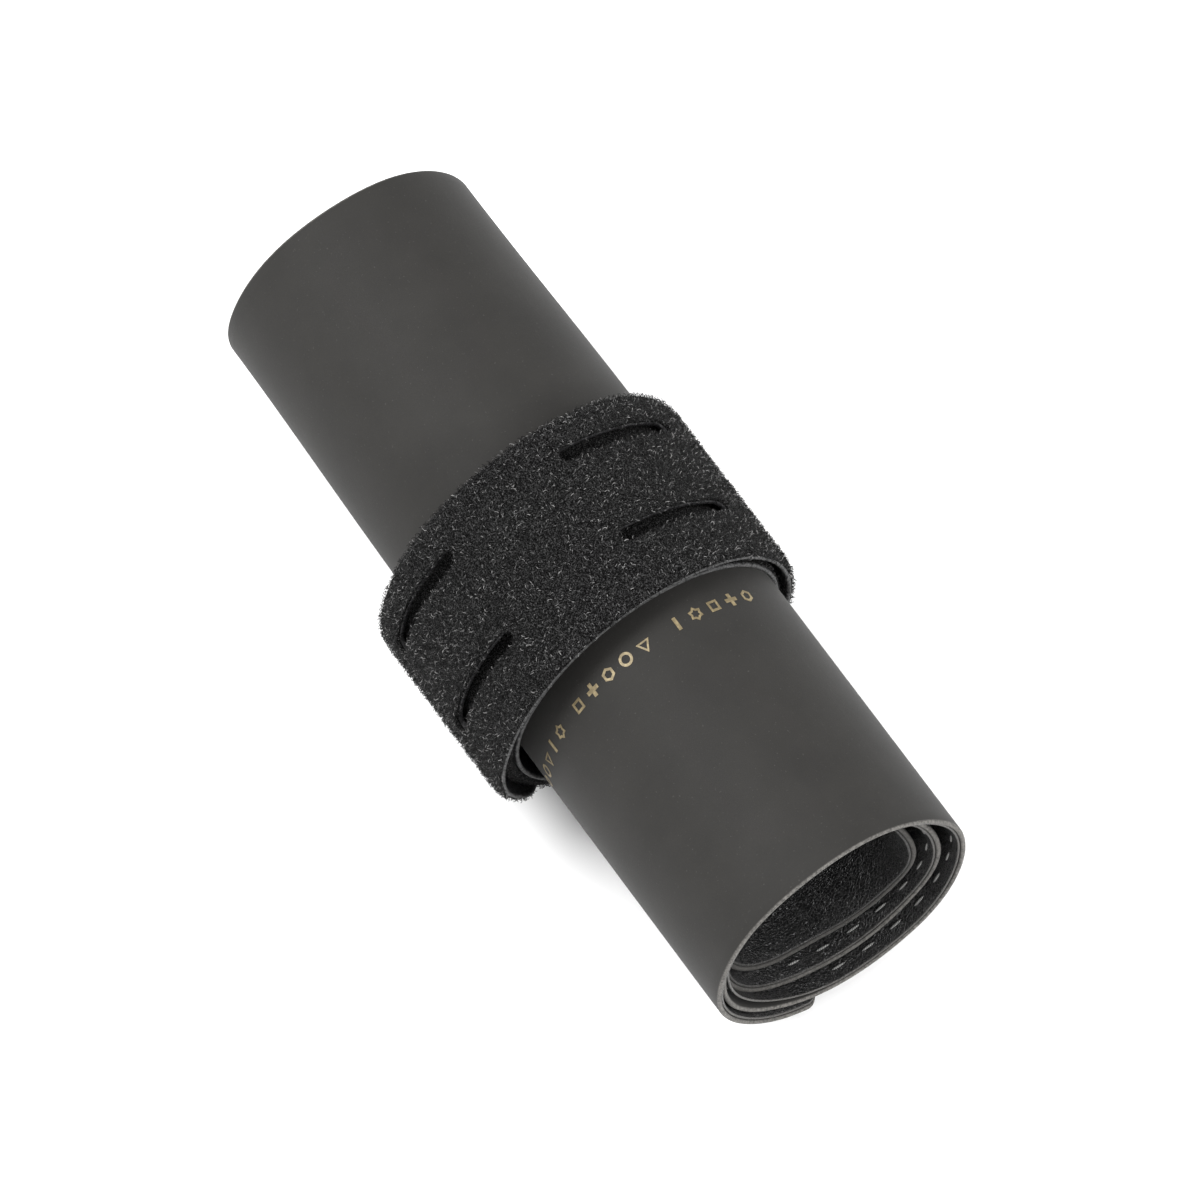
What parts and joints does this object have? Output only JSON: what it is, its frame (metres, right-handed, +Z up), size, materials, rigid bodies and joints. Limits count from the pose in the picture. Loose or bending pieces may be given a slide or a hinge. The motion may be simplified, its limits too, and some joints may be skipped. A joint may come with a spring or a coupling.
{
  "type": "rolled tool wrap",
  "caption": "Soft sheet rolled up on itself around a small ratchet, driver bits and an extension bar, closed by a wide slotted hook-and-loop strap.",
  "frame": {"origin": "on the floor under the middle of the wrap's bounding box", "axes": "+X along the roll towards its open near end, +Z up, +Y away from the sheet's free edge"},
  "size_m": [0.147, 0.0606, 0.0577],
  "materials": {
    "shell": "matte coated microfibre",
    "lining": "grained, low sheen",
    "elastic": "woven elastic",
    "hook_tape": "hook tape",
    "pile": "brushed loop pile",
    "steel": "satin plated",
    "dark_steel": "blackened",
    "black_metal": "satin black"
  },
  "bodies": {
    "roll": {"shell_roll": "shell", "lining_roll": "lining", "pocket_panel": "lining", "tool_sleeves": "elastic", "strap_back_roll": "hook_tape", "strap_pile_roll": "pile"},
    "flap_upper": {"shell_flap_upper": "shell", "lining_flap_upper": "lining", "strap_back_upper": "hook_tape", "strap_pile_upper": "pile"},
    "flap_lower": {"shell_flap_lower": "shell", "lining_flap_lower": "lining", "strap_back_lower": "hook_tape", "strap_pile_lower": "pile"},
    "strap_1": {"strap_hook_1": "hook_tape", "strap_pile_1": "pile"},
    "strap_2": {"strap_hook_2": "hook_tape", "strap_pile_2": "pile"},
    "strap_3": {"strap_hook_3": "hook_tape", "strap_pile_3": "pile"},
    "strap_4": {"strap_hook_4": "hook_tape", "strap_pile_4": "pile"},
    "strap_tab": {"tab_hook": "hook_tape", "tab_pile": "pile"},
    "ratchet": {"ratchet_handle": "steel", "head_cover": "steel", "cover_screws": "dark_steel", "pawl": "dark_steel", "pawl_spring": "dark_steel"},
    "gear": {"drive_gear": "steel"},
    "lever": {"selector_lever": "black_metal"},
    "bit_large": {"bit_hex_large": "dark_steel"},
    "bit_small": {"bit_hex_small": "dark_steel"},
    "bit_cross_tip": {"bit_cross": "dark_steel"},
    "extension": {"extension_bar": "steel"}
  },
  "joints": [
    {"name": "wrap_open", "type": "hinge", "parent": "roll", "child": "flap_upper", "pos_m": [0, 0.00131, 0.05428], "axis": [-1, 0, 0], "range_deg": [0, 60]},
    {"name": "flap_unfold", "type": "hinge", "parent": "flap_upper", "child": "flap_lower", "pos_m": [0, -0.02557, 0.0274], "axis": [-1, 0, 0], "range_deg": [0, 70.5]},
    {"name": "strap_unfold_1", "type": "hinge", "parent": "flap_lower", "child": "strap_1", "pos_m": [0, -0.00545, 0.00063], "axis": [-1, 0, 0], "range_deg": [0, 70.5]},
    {"name": "strap_unfold_2", "type": "hinge", "parent": "strap_1", "child": "strap_2", "pos_m": [0, 0.02635, 0.01347], "axis": [-1, 0, 0], "range_deg": [0, 70.5]},
    {"name": "strap_unfold_3", "type": "hinge", "parent": "strap_2", "child": "strap_3", "pos_m": [0, 0.02504, 0.04478], "axis": [-1, 0, 0], "range_deg": [0, 70.5]},
    {"name": "strap_unfold_4", "type": "hinge", "parent": "strap_3", "child": "strap_4", "pos_m": [0, -0.01016, 0.05587], "axis": [-1, 0, 0], "range_deg": [0, 90.5]},
    {"name": "tab_lift", "type": "hinge", "parent": "strap_4", "child": "strap_tab", "pos_m": [0, -0.03011, 0.02396], "axis": [-1, 0, 0], "range_deg": [0, 60]},
    {"name": "ratchet_slide", "type": "slide", "parent": "roll", "child": "ratchet", "axis": [1, 0, 0], "range_m": [0, 0.106]},
    {"name": "gear_spin", "type": "hinge", "parent": "ratchet", "child": "gear", "pos_m": [0.03876, -0.00053, 0.02178], "axis": [0, 0, 1], "continuous": true},
    {"name": "lever_flip", "type": "hinge", "parent": "ratchet", "child": "lever", "pos_m": [0.02376, -0.00053, 0.02178], "axis": [0, 0, 1], "range_deg": [-15, 15]},
    {"name": "bit_large_slide", "type": "slide", "parent": "roll", "child": "bit_large", "axis": [1, 0, 0], "range_m": [0, 0.03]},
    {"name": "bit_small_slide", "type": "slide", "parent": "roll", "child": "bit_small", "axis": [1, 0, 0], "range_m": [0, 0.03]},
    {"name": "bit_cross_slide", "type": "slide", "parent": "roll", "child": "bit_cross_tip", "axis": [1, 0, 0], "range_m": [0, 0.03]},
    {"name": "extension_slide", "type": "slide", "parent": "roll", "child": "extension", "axis": [1, 0, 0], "range_m": [0, 0.075]}
  ],
  "couplings": [
    {"joint": "flap_unfold", "follows": "wrap_open", "ratio": 1.1667},
    {"joint": "strap_unfold_1", "follows": "wrap_open", "ratio": 1.1667},
    {"joint": "strap_unfold_2", "follows": "wrap_open", "ratio": 1.1667},
    {"joint": "strap_unfold_3", "follows": "wrap_open", "ratio": 1.1667},
    {"joint": "strap_unfold_4", "follows": "wrap_open", "ratio": 1.5}
  ]
}
